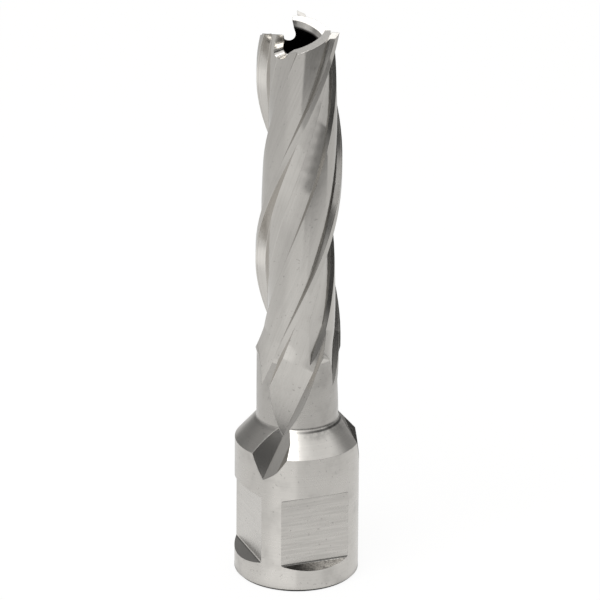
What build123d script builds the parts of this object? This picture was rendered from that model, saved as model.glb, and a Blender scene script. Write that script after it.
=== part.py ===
from build123d import *
from build123d.topology import SkipClean
from math import cos, hypot, pi, radians, sin, tan
import os

# Shank, standing on its flat base, with the axis on Z
shank_diameter = 19.05
shank_height = 22.0
base_break = 0.4

# Conical shoulder and the neck above it
shoulder_angle = 49.0
neck_diameter = 12.5
neck_top = 36.2
neck_rise = 1.0
neck_fillet = 0.5

# Cutting body with its stepped bore
cutter_diameter = 13.0
overall_length = 89.0
pilot_bore = 6.4
slug_bore = 6.6
slug_bore_depth = 55.0
bore_step = 0.4

# Drive flats milled in the shank, a quarter turn apart
flat_depth = 1.725
flat_bottom = 4.2
flat_top = 15.1
flat_slope = 23.2
flat_corner = 0.3
flat_sides = (Vector(0, -1, 0), Vector(-1, 0, 0))

# Helix of the flutes and the wheel that grinds them
flute_count = 3
flute_pitch = 88.3
flute_clock = 71.0
wheel_radius = 44.0
wheel_tilt = 23.3
wheel_lift = 45.0
wheel_overrun = 3.0

shank_radius = shank_diameter / 2
neck_radius = neck_diameter / 2
cutter_radius = cutter_diameter / 2
slug_radius = slug_bore / 2
shoulder_rise = (shank_radius - neck_radius) * tan(radians(shoulder_angle))
shoulder_top = shank_height + shoulder_rise
pitch_angle = 360 / flute_count


def bearing(angle, height):
    """Direction about Z of a point that lies `angle` past a cutting edge at this height."""
    return flute_clock + angle + 360 * height / flute_pitch


def at(radius, angle, centre):
    """Point of the cross-section, in the tilted plane that the wheel's axis lies in."""
    turn = radians(angle - centre)
    return radius * cos(turn), radius * sin(turn) * cos(radians(wheel_tilt))


def ground_groove(outline, centre, floor_radius, stop_height):
    """Groove left by a wheel that follows the helix down to stop_height and lifts out there."""
    tilt = radians(wheel_tilt)
    plane = Plane(origin=(0, 0, 0), x_dir=(1, 0, 0), z_dir=(0, sin(tilt), cos(tilt)))
    path_radius = flute_pitch * tan(tilt) / (2 * pi)
    path = Edge.make_helix(flute_pitch, overall_length + wheel_overrun - stop_height, path_radius)
    wheel_axis = Axis((floor_radius + wheel_radius, 0, 0), (0, -cos(tilt), sin(tilt)))
    with BuildPart() as groove:
        with BuildSketch(plane) as section:
            with BuildLine():
                outline()
            make_face()
        sweep(path=path, is_frenet=True)
        with BuildSketch(plane):
            add(section.sketch_local)
        revolve(axis=wheel_axis, revolution_arc=wheel_lift)
    turn = Rotation(0, 0, bearing(centre, stop_height))
    return Location((0, 0, stop_height)) * turn * groove.part


# Main flute: rake wall, flat floor and the sloping back wall that shows in the shoulder
flute_centre = 24.6
flute_floor = 4.67
flute_stop = 36.0
flute_reach = 6.5
rake_offset = -1.9
rake_flare = 0.45
valley_offset = 3.2
ramp_width = 1.41
ramp_height = 1.60
ramp_flare = 0.49


def flute_outline():
    ramp_end = (flute_floor + ramp_height, valley_offset + ramp_width)
    Polyline(
        (flute_floor + flute_reach, rake_offset - flute_reach * rake_flare),
        (flute_floor, rake_offset),
        (flute_floor, valley_offset),
        ramp_end,
        (flute_floor + flute_reach, ramp_end[1] + (flute_reach - ramp_height) * ramp_flare),
        close=True,
    )


# Deeper step along the back of the flute, ending in a wall that rises to the flute's own floor
step_centre = 38.0
step_floor = 4.55
step_stop = 42.5
step_start = -0.96
step_foot = 1.68
step_brow = (5.83, 61.3)
step_cover = ((5.60, 1.50), (5.00, -1.50))


def step_outline():
    Polyline(
        (step_floor, step_start),
        (step_floor, step_foot),
        at(*step_brow, step_centre),
        *step_cover,
        close=True,
    )


# Relief of the land between the flute and the narrow margin
land_centre = 85.0
land_stop = 40.3
land_inner = (5.61, 58.5)
land_middle = 5.66
land_outer = (5.80, 109.0)
land_heel = (6.50, 110.3)
land_reach = 2.5
land_cover = 1.4


def land_outline():
    inner = at(*land_inner, land_centre)
    outer = at(*land_outer, land_centre)
    heel = at(*land_heel, land_centre)
    rise = (heel[0] - outer[0]) * land_reach
    run = (heel[1] - outer[1]) * land_reach
    ThreePointArc(inner, (land_middle, 0), outer)
    Polyline(
        outer,
        (outer[0] + rise, outer[1] + run),
        (heel[0] + land_cover, inner[1]),
        inner,
    )


# Teeth. Each is drawn with its cutting corner on +X and the tool's axis on Z
tooth_reach = 12.0
face_rake = 17.8
face_hook = 16.0
relief_slope = (0.266, 0.268)
relief_drop = 1.67
relief_height = overall_length - relief_drop
bevel_radius = 3.75
bevel_drop = 1.1
bevel_rise = 0.4
bevel_flare = 0.45
corner_start = 5.2
corner_slope = (0.136, 0.45)
corner_height = overall_length - corner_slope[0] * cutter_radius
corner_width = 4.5
gash_edge = -0.55
gash_inner = (0.8, 0.72, 2.83)
gash_outer = (6.8, 1.78, 5.2)
gash_depth = 5.0
gash_flare = 10.0
clearance = 0.5

face_across = cutter_radius * sin(radians(face_rake))
face_normal = Vector(sin(radians(face_rake)), cos(radians(face_rake)))
face_along = Vector(cos(radians(face_rake)), -sin(radians(face_rake)))
face_front = (face_across + clearance - face_normal.X * corner_start) / face_normal.Y


def face_point(radius, offset):
    """Where the line lying `offset` ahead of the tooth face meets a circle about the axis."""
    across = face_across + offset
    return face_normal * across + face_along * (radius**2 - across**2) ** 0.5


def prism(outline):
    """Upright block over a plan outline, tall enough to pass the end of the tool."""
    with BuildPart() as block:
        with BuildSketch(Plane.XY.offset(overall_length)):
            with BuildLine():
                Polyline(*outline, close=True)
            make_face()
        extrude(amount=tooth_reach, both=True)
    return block.part


def above(block, slope, height):
    """The part of a block that lies above a plane of the given slope."""
    tilted = Plane(origin=(0, 0, height), z_dir=(-slope[0], -slope[1], 1))
    return split(block, bisect_by=tilted, keep=Keep.TOP)


def tooth_plan():
    """Plan of one tooth, from the gullet ahead of it to the gullet behind it."""
    inner = face_point(slug_radius - bore_step, clearance)
    outer = face_point(tooth_reach, clearance)
    return [
        inner.rotate(Axis.Z, -pitch_angle),
        outer.rotate(Axis.Z, -pitch_angle),
        (corner_start, -tooth_reach),
        (corner_start, face_front),
        inner,
    ]


def inner_bevel():
    """Bevel from the end face down to the bore, following the slope of the end face."""
    slope = hypot(*relief_slope)
    uphill = Vector(*relief_slope, slope**2)
    with BuildPart() as cone:
        for rise in (-bevel_drop, bevel_rise):
            level = Plane((0, 0, relief_height + rise), uphill, (-relief_slope[0], -relief_slope[1], 1))
            radius = bevel_radius + rise * bevel_flare
            with BuildSketch(level):
                Ellipse(radius * hypot(1, slope), radius)
        loft()
    return prism(tooth_plan()) & cone.part


def corner_relief():
    """Steeper relief behind the outer corner of the cutting edge."""
    block = prism(
        [
            (corner_start, -corner_width),
            (tooth_reach, -corner_width),
            (tooth_reach, clearance),
            (corner_start, face_front),
        ]
    )
    return above(block, corner_slope, corner_height)


def gash():
    """Round-bottomed gullet ground in front of a tooth, widening and falling outwards from the bore."""
    hook = radians(face_hook)
    flare = radians(gash_flare)
    with BuildPart() as trough:
        for along, radius, drop in (gash_inner, gash_outer):
            start = face_normal * face_across + face_along * along
            start += Vector(0, 0, overall_length - drop)
            centre = gash_edge + radius * cos(hook)
            face_foot = Vector(gash_edge, radius * (1 + sin(hook)))
            back_foot = Vector(centre + radius * cos(flare), radius * (1 - sin(flare)))
            face_top = face_foot + Vector(sin(hook), cos(hook)) * gash_depth
            back_top = back_foot + Vector(sin(flare), cos(flare)) * gash_depth
            with BuildSketch(Plane(start, face_normal, face_along)):
                with BuildLine():
                    ThreePointArc(face_foot, (centre, 0), back_foot)
                    Polyline(back_foot, back_top, face_top, face_foot)
                make_face()
        loft()
    return trough.part


tooth_cuts = [
    above(prism(tooth_plan()), relief_slope, relief_height),
    inner_bevel(),
    corner_relief(),
    gash(),
]

flat_inner = shank_radius - flat_depth
flat_outer = shank_radius + flat_depth
flat_spread = 2 * flat_depth * tan(radians(flat_slope))
drive_bottom = flat_bottom + flat_corner
drive_top = flat_top - flat_corner
drive_section = (
    (pilot_bore / 2, drive_top),
    (pilot_bore / 2, drive_bottom),
    (shank_radius, drive_bottom),
    (shank_radius, drive_top),
)
end_collar = (
    (pilot_bore / 2, drive_bottom),
    (pilot_bore / 2, 0),
    (shank_radius - base_break, 0),
    (shank_radius, base_break),
    (shank_radius, drive_bottom),
)

with BuildPart() as annular_cutter:
    with BuildSketch(Plane.XZ) as blank:
        with BuildLine():
            Polyline(
                (pilot_bore / 2, drive_top),
                (shank_radius, drive_top),
                (shank_radius, shank_height),
                (neck_radius, shoulder_top),
                (neck_radius, neck_top),
                (cutter_radius, neck_top + neck_rise),
                (cutter_radius, overall_length),
                (slug_radius, overall_length),
                (slug_radius, overall_length - slug_bore_depth),
                (pilot_bore / 2, overall_length - slug_bore_depth - bore_step),
                close=True,
            )
        make_face()
        neck_foot = blank.vertices().sort_by_distance((neck_radius, shoulder_top))[0]
        fillet(neck_foot, neck_fillet)
    revolve(axis=Axis.Z)

    with PolarLocations(0, flute_count):
        add(ground_groove(flute_outline, flute_centre, flute_floor, flute_stop), mode=Mode.SUBTRACT)
    with PolarLocations(0, flute_count):
        add(ground_groove(step_outline, step_centre, step_floor, step_stop), mode=Mode.SUBTRACT)
    with PolarLocations(0, flute_count):
        add(ground_groove(land_outline, land_centre, land_middle, land_stop), mode=Mode.SUBTRACT)

    for cut in tooth_cuts:
        with PolarLocations(0, flute_count, start_angle=bearing(0, overall_length)):
            add(cut, mode=Mode.SUBTRACT)

    # Lower shank: a drive section and an end collar that stay faces of their own
    for outline in (drive_section, end_collar):
        with BuildSketch(Plane((0, 0, 0), (-1, 0, 0), (0, 1, 0))):
            with BuildLine():
                Polyline(*outline, close=True)
            make_face()
        with SkipClean():
            revolve(axis=Axis.Z, clean=False)

    for outward in flat_sides:
        side = Plane((0, 0, 0), outward, outward.rotate(Axis.Z, -90))
        with BuildSketch(side) as pocket:
            with BuildLine():
                Polyline(
                    (flat_inner, flat_bottom),
                    (flat_outer, flat_bottom - flat_spread),
                    (flat_outer, flat_top + flat_spread),
                    (flat_inner, flat_top),
                    close=True,
                )
            make_face()
            fillet(pocket.vertices().group_by(Axis.X)[0], flat_corner)
        with SkipClean():
            extrude(amount=shank_radius, both=True, mode=Mode.SUBTRACT, clean=False)

annular_cutter.part.label = "annular_cutter"
os.makedirs("parts", exist_ok=True)
export_step(annular_cutter.part, "parts/annular_cutter.step")
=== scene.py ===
import bpy
import bmesh
import math
from mathutils import Matrix, Vector

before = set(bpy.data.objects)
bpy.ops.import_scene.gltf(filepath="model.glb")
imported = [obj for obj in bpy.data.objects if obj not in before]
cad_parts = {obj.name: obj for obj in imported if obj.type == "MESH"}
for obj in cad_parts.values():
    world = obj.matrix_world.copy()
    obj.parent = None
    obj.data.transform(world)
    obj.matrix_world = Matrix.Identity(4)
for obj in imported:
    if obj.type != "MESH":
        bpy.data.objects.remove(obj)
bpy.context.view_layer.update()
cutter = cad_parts["annular_cutter"]
print("frame loaded")

# A long lens a metre away, looking down on the tool from just left of its front flat
camera = {
    "target": (0, 0, 0.044531),
    "distance": 1.0544,
    "azimuth": -21.0,
    "elevation": 22.914,
    "roll": 0.4445,
    "lens": 417.0,
    "sensor": 36.0,
    "shiftX": 0.003143,
    "clip": (0.05, 20.0),
}


def toLinear(hexColor):
    channels = [int(hexColor[i:i + 2], 16) / 255 for i in (1, 3, 5)]
    return [c / 12.92 if c <= 0.04045 else ((c + 0.055) / 1.055) ** 2.4 for c in channels] + [1]


# Inputs go by name or number. A Mix has its numbers at 2 and 3, and its colours at 6 and 7
def addNode(tree, kind, settings=None, inputs=None):
    node = tree.nodes.new(kind)
    for name, value in (settings or {}).items():
        setattr(node, name, value)
    for name, value in (inputs or {}).items():
        if isinstance(value, bpy.types.NodeSocket):
            tree.links.new(value, node.inputs[name])
        else:
            node.inputs[name].default_value = value
    return node


# Bearings run round the tool in degrees from the azimuth above, and left is negative
def fromBearing(bearing, elevation):
    around = math.radians(bearing + camera["azimuth"])
    above = math.radians(elevation)
    return Vector((math.sin(around) * math.cos(above), -math.cos(around) * math.cos(above),
                   math.sin(above)))


# The same bearing for a material, in radians
def addBearing(tree, point):
    turned = addNode(tree, "ShaderNodeMapping", {}, {
        "Vector": point, "Rotation": (0, 0, -math.radians(camera["azimuth"]))}).outputs[0]
    x, y = addNode(tree, "ShaderNodeSeparateXYZ", {}, {0: turned}).outputs[:2]
    front = addNode(tree, "ShaderNodeMath", {"operation": "MULTIPLY"}, {0: y, 1: -1.0}).outputs[0]
    return addNode(tree, "ShaderNodeMath", {"operation": "ARCTAN2"}, {0: x, 1: front}).outputs[0]


turn, roll = math.radians(camera["azimuth"]), math.radians(camera["roll"])
back = fromBearing(0, camera["elevation"])
side = Vector((math.cos(turn), math.sin(turn), 0))
up = back.cross(side)
view = Matrix((
    side * math.cos(roll) + up * math.sin(roll),
    up * math.cos(roll) - side * math.sin(roll),
    back,
)).transposed().to_4x4()
view.translation = Vector(camera["target"]) + back * camera["distance"]
cameraData = bpy.data.cameras.new("camera")
cameraData.lens = camera["lens"]
cameraData.sensor_width = camera["sensor"]
cameraData.shift_x = camera["shiftX"]
cameraData.clip_start, cameraData.clip_end = camera["clip"]
cameraObject = bpy.data.objects.new("camera", cameraData)
bpy.context.collection.objects.link(cameraObject)
cameraObject.matrix_world = view
bpy.context.scene.camera = cameraObject
print("camera placed")

# A white sweep under and behind the tool. Light and shade are painted into the white that the metal
# mirrors: it is brighter close to the tool, has a painted shadow under the edge of the base, and
# carries lighter and darker painted patches
sweep = {
    "size": 6.0,
    "color": "#f2f1ef",
    "white": 0.86,             # share of plain white that the camera and the metal see in it
    "cameraWhite": 1.04,       # brightness of that white to the camera
    "near": 0.95,              # painted light: the white's brightness to the metal, close to the tool
    "far": 0.57,               # and far away from it
    "reach": 0.22,
    "underEdge": 0.10,         # painted shadow: hardly any light gets in under the edge of the base
    "edgeSpan": (0.0095, 0.0104),
    # Painted patches of light and shade that the metal mirrors: bearings from and to, softness on
    # the left, near edge, far edge, brightness
    "paintedPatches": (
        (-30, 0, 26, 0.012, 0.080, 1.30),
        (-28, 28, 26, 0.110, 0.420, 1.16),
        (12, 88, 9, 0.214, 0.262, 0.04),
        (12, 88, 9, 0.262, 0.900, 0.32),
    ),
    "rightSoftness": 2,        # degrees
    "nearSoftness": 0.86,      # a painted patch fades in from this share of the way to its near edge
    "farSoftness": 0.01,
}
floorMesh = bpy.data.meshes.new("floor")
sheet = bmesh.new()
bmesh.ops.create_grid(sheet, x_segments=1, y_segments=1, size=sweep["size"] / 2)
sheet.to_mesh(floorMesh)
sheet.free()
floor = bpy.data.objects.new("floor", floorMesh)
bpy.context.collection.objects.link(floor)

paper = bpy.data.materials.new("matt white paper")     # dull white, even to the camera; the white that the metal mirrors carries painted light and shade
paper.use_nodes = True
paperTree = paper.node_tree
paperTree.nodes.clear()
spot = addNode(paperTree, "ShaderNodeTexCoord").outputs["Object"]
spotBearing = addBearing(paperTree, spot)
away = addNode(paperTree, "ShaderNodeVectorMath", {"operation": "LENGTH"}, {
    0: spot}).outputs["Value"]
# Painted light and shade in the white that the metal mirrors: brighter near the tool, then a
# painted shadow under the edge of the base
lights = [
    addNode(paperTree, "ShaderNodeMapRange", {}, {
        "Value": away, "From Min": 0.0, "From Max": sweep["reach"],
        "To Min": sweep["near"], "To Max": sweep["far"]}).outputs["Result"],
    addNode(paperTree, "ShaderNodeMapRange", {"interpolation_type": "SMOOTHSTEP"}, {
        "Value": away, "From Min": sweep["edgeSpan"][0], "From Max": sweep["edgeSpan"][1],
        "To Min": sweep["underEdge"], "To Max": 1.0}).outputs["Result"],
]
# Each painted patch brightens or darkens the white that the metal mirrors
for left, right, softness, near, far, brightness in sweep["paintedPatches"]:
    patch = 1.0
    for value, first, last in (
        (spotBearing, math.radians(left - softness), math.radians(left)),
        (spotBearing, math.radians(right + sweep["rightSoftness"]),
         math.radians(right - sweep["rightSoftness"])),
        (away, near * sweep["nearSoftness"], near),
        (away, far + sweep["farSoftness"], far - sweep["farSoftness"]),
    ):
        within = addNode(paperTree, "ShaderNodeMapRange", {"interpolation_type": "SMOOTHSTEP"}, {
            "Value": value, "From Min": first, "From Max": last}).outputs["Result"]
        patch = addNode(paperTree, "ShaderNodeMath", {"operation": "MULTIPLY"}, {
            0: patch, 1: within}).outputs[0]
    lights.append(addNode(paperTree, "ShaderNodeMapRange", {}, {
        "Value": patch, "To Min": 1.0, "To Max": brightness}).outputs["Result"])
pool = 1.0
for light in lights:
    pool = addNode(paperTree, "ShaderNodeMath", {"operation": "MULTIPLY"}, {
        0: pool, 1: light}).outputs[0]

paperRay = addNode(paperTree, "ShaderNodeLightPath").outputs
seen = addNode(paperTree, "ShaderNodeMath", {"operation": "MAXIMUM"}, {
    0: paperRay["Is Camera Ray"], 1: paperRay["Is Transmission Ray"]}).outputs[0]
mirrored = addNode(paperTree, "ShaderNodeMath", {"operation": "MAXIMUM"}, {
    0: seen, 1: paperRay["Is Glossy Ray"]}).outputs[0]
glow = addNode(paperTree, "ShaderNodeMix", {"data_type": "FLOAT"}, {
    0: seen, 2: pool, 3: sweep["cameraWhite"]}).outputs[0]
whiteShare = addNode(paperTree, "ShaderNodeMath", {"operation": "MULTIPLY"}, {
    0: mirrored, 1: sweep["white"]}).outputs[0]
dull = addNode(paperTree, "ShaderNodeBsdfDiffuse", {}, {"Color": toLinear(sweep["color"])})
white = addNode(paperTree, "ShaderNodeEmission", {}, {"Color": (1, 1, 1, 1), "Strength": glow})
both = addNode(paperTree, "ShaderNodeMixShader", {}, {
    0: whiteShare, 1: dull.outputs[0], 2: white.outputs[0]})
addNode(paperTree, "ShaderNodeOutputMaterial", {}, {"Surface": both.outputs[0]})
floorMesh.materials.append(paper)
print("sweep laid")

# A room that is dark in front of the tool low down, and bright high up and behind it
room = {
    "fill": 0.62,              # even light on whatever is matt
    # Brightness by bearing, at six elevations
    "rings": {
        3: ((-180, 0.50), (-150, 0.12), (-97, 0.48), (-65, 0.50), (-42, 0.34), (-25, 0.14),
            (-8, 0.12), (12, 0.12), (30, 0.22), (80, 0.30), (92, 0.06), (108, 0.05),
            (128, 0.18), (145, 0.26), (180, 0.50)),
        9: ((-180, 0.55), (-150, 0.12), (-97, 0.48), (-65, 0.48), (-42, 0.30), (-25, 0.11),
            (-8, 0.08), (12, 0.07), (32, 0.04), (55, 0.08), (80, 0.12), (92, 0.04),
            (108, 0.04), (128, 0.18), (145, 0.28), (180, 0.55)),
        21: ((-180, 0.90), (-150, 0.14), (-134, 0.07), (-97, 0.40), (-72, 0.46), (-52, 0.18),
             (-30, 0.05), (-8, 0.03), (30, 0.03), (55, 0.07), (80, 0.18), (92, 0.05),
             (108, 0.06), (128, 0.20), (150, 0.40), (157, 1.20), (180, 1.20)),
        26: ((-180, 1.30), (-134, 0.10), (-97, 0.28), (-65, 0.42), (-45, 0.70), (-30, 1.20),
             (24, 1.25), (42, 0.30), (60, 0.45), (82, 0.60), (100, 0.34), (122, 0.25),
             (146, 0.40), (157, 1.80), (180, 1.80)),
        34: ((-180, 1.40), (-150, 0.20), (-105, 0.05), (-60, 0.28), (-24, 0.85), (22, 0.95),
             (60, 0.85), (82, 1.20), (112, 0.28), (135, 0.40), (152, 2.0), (180, 2.0)),
        52: ((-180, 2.2), (-142, 1.8), (-110, 0.50), (-60, 0.33), (-30, 0.80), (20, 1.50),
             (42, 0.95), (67, 1.05), (100, 1.00), (145, 1.9), (180, 2.2)),
    },
}
world = bpy.data.worlds.new("studio")
bpy.context.scene.world = world
world.use_nodes = True
worldTree = world.node_tree
worldTree.nodes.clear()
towards = addNode(worldTree, "ShaderNodeTexCoord").outputs["Generated"]
skyHeight = addNode(worldTree, "ShaderNodeSeparateXYZ", {}, {0: towards}).outputs["Z"]
around = addNode(worldTree, "ShaderNodeMapRange", {}, {
    "Value": addBearing(worldTree, towards),
    "From Min": -math.pi, "From Max": math.pi}).outputs["Result"]
walls, lower = None, None
for elevation, stops in room["rings"].items():
    ring = addNode(worldTree, "ShaderNodeValToRGB", {}, {0: around})
    ramp = ring.color_ramp.elements
    while len(ramp) < len(stops):
        ramp.new(1.0)
    for stop, (bearing, brightness) in zip(ramp, stops):
        stop.position = (bearing + 180) / 360
        stop.color = (brightness, brightness, brightness, 1)
    if walls is None:
        walls = ring.outputs[0]
    else:
        climb = addNode(worldTree, "ShaderNodeMapRange", {"interpolation_type": "SMOOTHSTEP"}, {
            "Value": skyHeight, "From Min": math.sin(math.radians(lower)),
            "From Max": math.sin(math.radians(elevation))}).outputs["Result"]
        walls = addNode(worldTree, "ShaderNodeMix", {"data_type": "RGBA"}, {
            0: climb, 6: walls, 7: ring.outputs[0]}).outputs[2]
    lower = elevation
skyRay = addNode(worldTree, "ShaderNodeLightPath").outputs
for ray, sky in (("Is Diffuse Ray", [room["fill"]] * 3 + [1]), ("Is Camera Ray", (1, 1, 1, 1))):
    walls = addNode(worldTree, "ShaderNodeMix", {"data_type": "RGBA"}, {
        0: skyRay[ray], 6: walls, 7: sky}).outputs[2]
air = addNode(worldTree, "ShaderNodeBackground", {}, {"Color": walls, "Strength": 1.0})
addNode(worldTree, "ShaderNodeOutputWorld", {}, {"Surface": air.outputs[0]})

# A softbox high up, to the left of the camera
softbox = {
    "bearing": -30.0,
    "elevation": 55.0,
    "distance": 1.1,
    "size": (0.70, 0.50),
    "power": 4.6,
}
softboxData = bpy.data.lights.new("softbox", "AREA")
softboxData.shape = "RECTANGLE"
softboxData.size, softboxData.size_y = softbox["size"]
softboxData.energy = softbox["power"]
softboxObject = bpy.data.objects.new("softbox", softboxData)
bpy.context.collection.objects.link(softboxObject)
aim = fromBearing(softbox["bearing"], softbox["elevation"])
softboxObject.location = Vector(camera["target"]) + aim * softbox["distance"]
softboxObject.rotation_mode = "QUATERNION"
softboxObject.rotation_quaternion = aim.to_track_quat("Z", "Y")
bpy.context.scene.view_settings.view_transform = "Standard"
print("studio lit")

# Ground high-speed steel: bright, slightly warm grey, drawn out in fine lines by each wheel
steel = {
    "color": "#cfccc7",
    # The bore's dark colour is painted shade inside the hole
    "bore": "#3c3a37",
    "anisotropy": 0.8,
    "grainTurn": 0.25,
    "fluteRoughness": 0.15,
    "turnedRoughness": 0.27,   # the lathe's and the mill's marks are coarser than the wheel's
    "coneRoughness": 0.30,
    "edgeRadius": 0.00009,     # the hair of rounding that every ground edge has
    "edgeSamples": 4,
    "bump": 0.3,
    "helixPitch": 0.0883,
    # Noise: size across the cutter, size along it, detail, roughness. Real milled and ground lines
    # are about half as far apart as these, which is too fine to show
    "noise": {
        "turned": (1 / 30, 0.00016, 3.0, 0.60),      # tool marks, 0.16 mm apart
        "milled": (1 / 150, 0.00040, 2.0, 0.55),
        "ground": (0.00028, 1 / 60, 2.0, 0.50),
        "smudges": (0.0034, 0.0034, 5.0, 0.62),      # from oily fingers
        "specks": (0.00042, 0.00042, 1.0, 0.50),
        "pits": (0.00035, 0.00035, 3.0, 0.70),
        # Patches of the painted shade at the top of the cone
        "cornerShade": (0.0013, 0.0013, 5.0, 0.68),
    },
    # Noise over which each mark comes in
    "lineSpan": (0.38, 0.66),
    "smudgeSpan": (0.52, 0.72),
    "dullSpan": (0.40, 0.70),
    "speckSpan": (0.70, 0.76),
    # Strengths: elsewhere, and on the front flat for lines or where hands hold it for smudges
    "lineShade": (0.95, 0.87),
    "lineHeight": (0.000006, 0.000017),
    "smudgeShade": (0.97, 0.86),
    "smudgeRoughness": (0.01, 0.06),
    # Shades by which the colour is multiplied
    "speckShade": 0.75,
    # Painted shade, in patches, in the corner at the top of the cone
    "cornerShadeDepth": 0.45,
    "faceShades": {
        "onNeck": 0.86,
        # Painted shade: dark lines at the front flat's corner and top, and the left shelf darker.
        # Painted highlights: bright lines at the left flat's corner and top
        "frontCorner": 0.40, "frontBite": 0.60,
        "leftShelf": 0.52, "leftCorner": 1.25, "leftBite": 1.10,
    },
    # Ramps: from, to, and the result at each
    "ramps": {
        "shelfLightAndShade": (-0.0035, 0.0025, 0.10, 1.10),     # painted shade at the left of the front shelf, turning to painted light at the right
        "towardNeck": (0.0236, 0.0256, 0.0, 1.0),      # the painted shade comes in up the cone
        "toRight": (-0.0040, 0.0010, 0.0, 1.0),      # from left to right on the cone
        "ringHere": (-0.0040, 0.0010, 0.15, 1.0),
        "ringDark": (0.00006, 0.00022, 0.25, 1.0),   # away from the middle of the ring
        "pitted": (0.38, 0.60, 0.45, 1.10),
        "patchy": (0.38, 0.66, 0.0, 1.0),
        "inBore": (0.00345, 0.00335, 0.0, 1.0),      # just outside the bore's wall
    },
}
# Where the cutter's faces lie, and the lines at the two ends of its flats
faces = {
    "shankRadius": 0.009525, "shankTop": 0.0220,
    "neckRadius": 0.00625, "neckFoot": 0.025767,
    "flat": -0.0078, "flatTop": 0.0151, "flatSlack": 0.0005,
    "shelfTop": 0.00418, "shelfInner": 0.0077, "shelfRim": 0.009505,
    "corner": 0.0043, "cornerHalf": 0.00013, "biteHalf": 0.00014,
    "ring": 0.02535,
    "hair": 0.00003,           # how far off a face its flat facets lie
}
metal = bpy.data.materials.new("ground high speed steel")
metal.use_nodes = True
metalTree = metal.node_tree
metalTree.nodes.clear()
place = addNode(metalTree, "ShaderNodeTexCoord").outputs["Object"]
acrossX, acrossY, height = addNode(metalTree, "ShaderNodeSeparateXYZ", {}, {0: place}).outputs
flattened = addNode(metalTree, "ShaderNodeVectorMath", {"operation": "MULTIPLY"}, {
    0: place, 1: (1, 1, 0)}).outputs[0]
radius = addNode(metalTree, "ShaderNodeVectorMath", {"operation": "LENGTH"}, {
    0: flattened}).outputs["Value"]

# The cone's own radius at each height
slope = (faces["shankRadius"] - faces["neckRadius"]) / (faces["neckFoot"] - faces["shankTop"])
coneRadius = addNode(metalTree, "ShaderNodeMath", {"operation": "MULTIPLY_ADD"}, {
    0: height, 1: -slope, 2: faces["shankRadius"] + slope * faces["shankTop"]}).outputs[0]
coneMiddle = (faces["neckFoot"] + faces["shankTop"]) / 2
coneHalf = (faces["neckFoot"] - faces["shankTop"]) / 2

# Tests of where a point lies, each 1 where it holds, and the faces that they mark out
hair = faces["hair"]
masks = {}
for name, test, value, limit, slack in (
    ("belowCone", "LESS_THAN", height, faces["shankTop"], 0),
    ("atRim", "GREATER_THAN", radius, faces["shankRadius"] - hair, 0),
    ("insideRim", "LESS_THAN", radius, faces["shelfRim"], 0),
    ("onNeck", "COMPARE", radius, faces["neckRadius"], hair),
    ("alongCone", "COMPARE", radius, coneRadius, 2 * hair),
    ("coneSpan", "COMPARE", height, coneMiddle, coneHalf),
    ("alongLeft", "COMPARE", acrossX, faces["flat"], hair),
    ("alongFront", "COMPARE", acrossY, faces["flat"], hair),
    ("flatSpan", "LESS_THAN", height, faces["flatTop"] + faces["flatSlack"], 0),
    ("pastLeft", "LESS_THAN", acrossX, faces["flat"] + hair, 0),
    ("pastFront", "LESS_THAN", acrossY, faces["flat"] + hair, 0),
    ("shelfSpan", "LESS_THAN", height, faces["shelfTop"], 0),
    ("outsideCore", "GREATER_THAN", radius, faces["shelfInner"], 0),
    ("atCorner", "COMPARE", height, faces["corner"], faces["cornerHalf"]),
    ("atBite", "COMPARE", height, faces["flatTop"], faces["biteHalf"]),
):
    masks[name] = addNode(metalTree, "ShaderNodeMath", {"operation": test}, {
        0: value, 1: limit, 2: slack}).outputs[0]
for name, operation, parts in (
    ("onShank", "MULTIPLY", ("belowCone", "atRim")),
    ("onCone", "MULTIPLY", ("alongCone", "coneSpan")),
    ("isTurned", "MAXIMUM", ("onShank", "onNeck")),
    ("isHandled", "MAXIMUM", ("isTurned", "onCone")),
    ("onLeftFlat", "MULTIPLY", ("alongLeft", "flatSpan")),
    ("onFrontFlat", "MULTIPLY", ("alongFront", "flatSpan")),
    ("onFlat", "MAXIMUM", ("onLeftFlat", "onFrontFlat")),
    # The shelves under the flats, where painted shade is laid
    ("leftShelf", "MULTIPLY", ("pastLeft", "shelfSpan", "insideRim", "outsideCore")),
    ("frontShelf", "MULTIPLY", ("pastFront", "shelfSpan", "insideRim", "outsideCore")),
    # Lines at each flat's corner and top, which carry painted shade on the front flat and painted
    # highlights on the left flat
    ("leftCorner", "MULTIPLY", ("pastLeft", "atCorner", "insideRim")),
    ("frontCorner", "MULTIPLY", ("pastFront", "atCorner", "insideRim")),
    ("leftBite", "MULTIPLY", ("pastLeft", "atBite", "insideRim")),
    ("frontBite", "MULTIPLY", ("pastFront", "atBite", "insideRim")),
):
    masks[name] = masks[parts[0]]
    for part in parts[1:]:
        masks[name] = addNode(metalTree, "ShaderNodeMath", {"operation": operation}, {
            0: masks[name], 1: masks[part]}).outputs[0]

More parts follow.
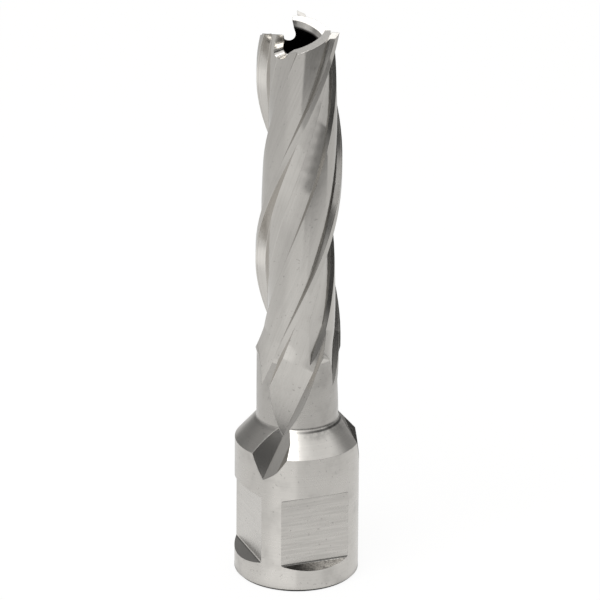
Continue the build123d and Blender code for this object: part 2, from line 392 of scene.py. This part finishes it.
# Noise. The ground lines are turned back by the helix, so that they follow the flutes
twist = addNode(metalTree, "ShaderNodeMath", {"operation": "MULTIPLY"}, {
    0: height, 1: -2 * math.pi / steel["helixPitch"]}).outputs[0]
unwound = addNode(metalTree, "ShaderNodeVectorRotate", {"rotation_type": "Z_AXIS"}, {
    "Vector": place, "Angle": twist}).outputs[0]
noise = {}
for name, (wide, long, detail, roughness) in steel["noise"].items():
    scaled = addNode(metalTree, "ShaderNodeMapping", {}, {
        "Vector": unwound if name == "ground" else place,
        "Scale": (1 / wide, 1 / wide, 1 / long)}).outputs[0]
    noise[name] = addNode(metalTree, "ShaderNodeTexNoise", {}, {
        "Vector": scaled, "Scale": 1.0, "Detail": detail, "Roughness": roughness}).outputs["Fac"]
lines = noise["ground"]
for face, pattern in (("isHandled", "turned"), ("onFlat", "milled")):
    lines = addNode(metalTree, "ShaderNodeMix", {"data_type": "FLOAT"}, {
        0: masks[face], 2: lines, 3: noise[pattern]}).outputs[0]
strengths = {}
for name, face in (
    ("lineShade", "onFrontFlat"), ("lineHeight", "onFrontFlat"),
    ("smudgeShade", "isHandled"), ("smudgeRoughness", "isHandled"),
):
    elsewhere, here = steel[name]
    strengths[name] = addNode(metalTree, "ShaderNodeMix", {"data_type": "FLOAT"}, {
        0: masks[face], 2: elsewhere, 3: here}).outputs[0]

# Painted shade on the front shelf, darkest at the left and turning to painted light at the right,
# with pits in it; painted shade in patches in the corner at the top of the cone, towards the right;
# and a painted dark ring round the top of the cone, below the foot of the neck
# Painted shade: a dark line round the top of the cone, below the foot of the neck, strongest to the
# right
fromRing = addNode(metalTree, "ShaderNodeMath", {"operation": "SUBTRACT"}, {
    0: height, 1: faces["ring"]}).outputs[0]
ringAway = addNode(metalTree, "ShaderNodeMath", {"operation": "ABSOLUTE"}, {0: fromRing}).outputs[0]
ramps = {}
for name, value, interpolation in (
    ("shelfLightAndShade", acrossX, "SMOOTHSTEP"),
    ("towardNeck", height, "SMOOTHSTEP"),
    ("toRight", acrossX, "SMOOTHSTEP"),
    ("ringHere", acrossX, "SMOOTHSTEP"),
    ("ringDark", ringAway, "SMOOTHSTEP"),
    ("pitted", noise["pits"], "LINEAR"),
    ("patchy", noise["cornerShade"], "LINEAR"),
    ("inBore", radius, "LINEAR"),
):
    first, last, atFirst, atLast = steel["ramps"][name]
    ramps[name] = addNode(metalTree, "ShaderNodeMapRange", {"interpolation_type": interpolation}, {
        "Value": value, "From Min": first, "From Max": last,
        "To Min": atFirst, "To Max": atLast}).outputs["Result"]
marks = {}
for name, factors in (
    ("shelfShadeAndPits", (ramps["shelfLightAndShade"], ramps["pitted"])),
    ("cornerShade", (ramps["towardNeck"], ramps["patchy"], ramps["toRight"], masks["onCone"])),
    ("ring", (ramps["ringHere"], masks["onCone"])),
):
    marks[name] = factors[0]
    for factor in factors[1:]:
        marks[name] = addNode(metalTree, "ShaderNodeMath", {"operation": "MULTIPLY"}, {
            0: marks[name], 1: factor}).outputs[0]

# All that shades the colour: what brings it in, over which span, and how far
shades = [
    (lines, steel["lineSpan"], strengths["lineShade"]),
    (noise["smudges"], steel["smudgeSpan"], strengths["smudgeShade"]),
    (noise["specks"], steel["speckSpan"], steel["speckShade"]),
    (masks["frontShelf"], (0, 1), marks["shelfShadeAndPits"]),
    (marks["cornerShade"], (0, 1), steel["cornerShadeDepth"]),
    (marks["ring"], (0, 1), ramps["ringDark"]),
]
shades += [(masks[face], (0, 1), shade) for face, shade in steel["faceShades"].items()]
tone = 1.0
for value, (first, last), deepest in shades:
    shade = addNode(metalTree, "ShaderNodeMapRange", {}, {
        "Value": value, "From Min": first, "From Max": last,
        "To Min": 1.0, "To Max": deepest}).outputs["Result"]
    tone = addNode(metalTree, "ShaderNodeMath", {"operation": "MULTIPLY"}, {
        0: tone, 1: shade}).outputs[0]
toned = addNode(metalTree, "ShaderNodeMix", {"data_type": "RGBA", "blend_type": "MULTIPLY"}, {
    0: 1.0, 6: toLinear(steel["color"]), 7: tone}).outputs[2]
# Painted shade: the colour turns dark inside the bore
color = addNode(metalTree, "ShaderNodeMix", {"data_type": "RGBA"}, {
    0: ramps["inBore"], 6: toned, 7: toLinear(steel["bore"])}).outputs[2]

finish = steel["fluteRoughness"]
for face, roughness in (
    ("onCone", "coneRoughness"), ("isTurned", "turnedRoughness"), ("onFlat", "turnedRoughness"),
):
    finish = addNode(metalTree, "ShaderNodeMix", {"data_type": "FLOAT"}, {
        0: masks[face], 2: finish, 3: steel[roughness]}).outputs[0]
dulled = addNode(metalTree, "ShaderNodeMapRange", {}, {
    "Value": noise["smudges"],
    "From Min": steel["dullSpan"][0], "From Max": steel["dullSpan"][1],
    "To Min": 0.0, "To Max": strengths["smudgeRoughness"]}).outputs["Result"]
rough = addNode(metalTree, "ShaderNodeMath", {"operation": "ADD"}, {
    0: finish, 1: dulled}).outputs[0]
softEdge = addNode(metalTree, "ShaderNodeBevel", {"samples": steel["edgeSamples"]}, {
    "Radius": steel["edgeRadius"]}).outputs[0]
bump = addNode(metalTree, "ShaderNodeBump", {}, {
    "Height": lines, "Strength": steel["bump"], "Distance": strengths["lineHeight"],
    "Normal": softEdge}).outputs["Normal"]
surface = addNode(metalTree, "ShaderNodeBsdfPrincipled", {}, {
    "Base Color": color, "Metallic": 1.0, "Roughness": rough, "Normal": bump,
    "Anisotropic": steel["anisotropy"], "Anisotropic Rotation": steel["grainTurn"]})
addNode(metalTree, "ShaderNodeOutputMaterial", {}, {"Surface": surface.outputs[0]})
for slot in cutter.material_slots:
    slot.material = metal
print("steel dressed")
